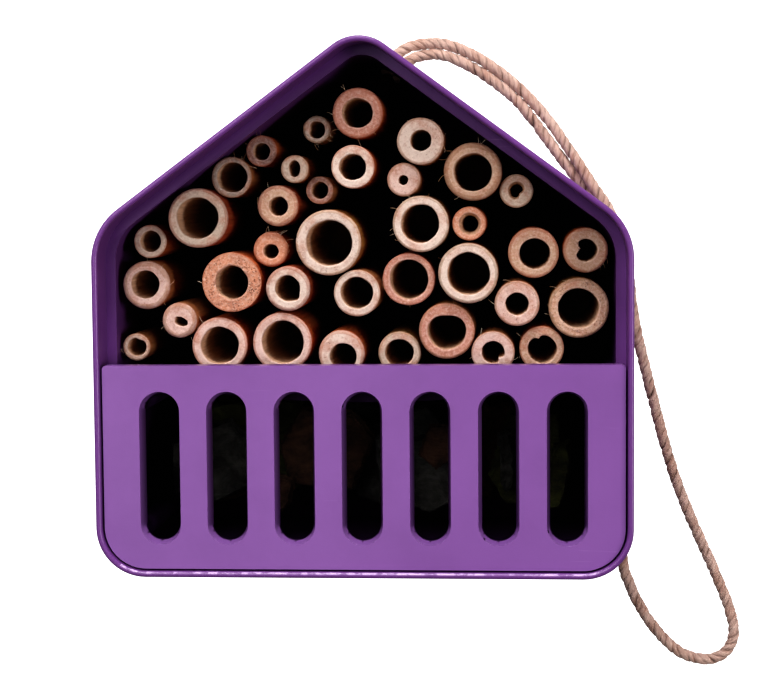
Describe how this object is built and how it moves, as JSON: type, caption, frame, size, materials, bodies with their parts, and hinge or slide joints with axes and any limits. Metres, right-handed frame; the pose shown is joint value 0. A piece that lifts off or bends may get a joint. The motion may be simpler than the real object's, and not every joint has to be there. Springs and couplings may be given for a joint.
{
  "type": "insect hotel",
  "caption": "House-shaped plastic tub with bamboo canes in the loft, bark behind a slotted lift-off cover, and a cord loop to hang it by.",
  "frame": {"origin": "middle of the flat back face, which the house lies on", "axes": "+Z out of the open front, +Y from the base to the roof ridge, +X to the right as the front is looked at; hung up, +Y points up"},
  "size_m": [0.1744, 0.1838, 0.075],
  "materials": {
    "purple_plastic": "satin moulded purple plastic",
    "bamboo": "raw bamboo, sawn ends pale, skin orange brown",
    "bark": "rough bark and split wood",
    "cord": "plaited natural fibre"
  },
  "bodies": {
    "house": {"casing": "purple_plastic", "shelf": "purple_plastic", "cord_knot": "cord", "hanging_cord": "cord", "cane_01": "bamboo", "cane_02": "bamboo", "cane_03": "bamboo", "cane_04": "bamboo", "cane_05": "bamboo", "cane_06": "bamboo", "cane_07": "bamboo", "cane_08": "bamboo", "cane_09": "bamboo", "cane_10": "bamboo", "cane_11": "bamboo", "cane_12": "bamboo", "cane_13": "bamboo", "cane_14": "bamboo", "cane_15": "bamboo", "cane_16": "bamboo", "cane_17": "bamboo", "cane_18": "bamboo", "cane_19": "bamboo", "cane_20": "bamboo", "cane_21": "bamboo", "cane_22": "bamboo", "cane_23": "bamboo", "cane_24": "bamboo", "cane_25": "bamboo", "cane_26": "bamboo", "cane_27": "bamboo", "cane_28": "bamboo", "cane_29": "bamboo", "cane_30": "bamboo", "cane_31": "bamboo", "cane_32": "bamboo", "cane_33": "bamboo", "cane_34": "bamboo", "cane_35": "bamboo", "cane_36": "bamboo", "cane_37": "bamboo", "filling_01": "bark", "filling_02": "bark", "filling_03": "bark", "filling_04": "bark", "filling_05": "bark", "filling_06": "bark", "filling_07": "bark", "filling_08": "bark", "filling_09": "bark", "filling_10": "bark", "filling_11": "bark", "filling_12": "bark", "filling_13": "bark", "filling_14": "bark", "filling_15": "bark", "filling_16": "bark", "filling_17": "bark"},
    "cover": {"front_cover": "purple_plastic"}
  },
  "joints": [
    {"name": "cover_lift", "type": "slide", "parent": "house", "child": "cover", "axis": [0, 0, 1], "range_m": [0, 0.04]}
  ]
}
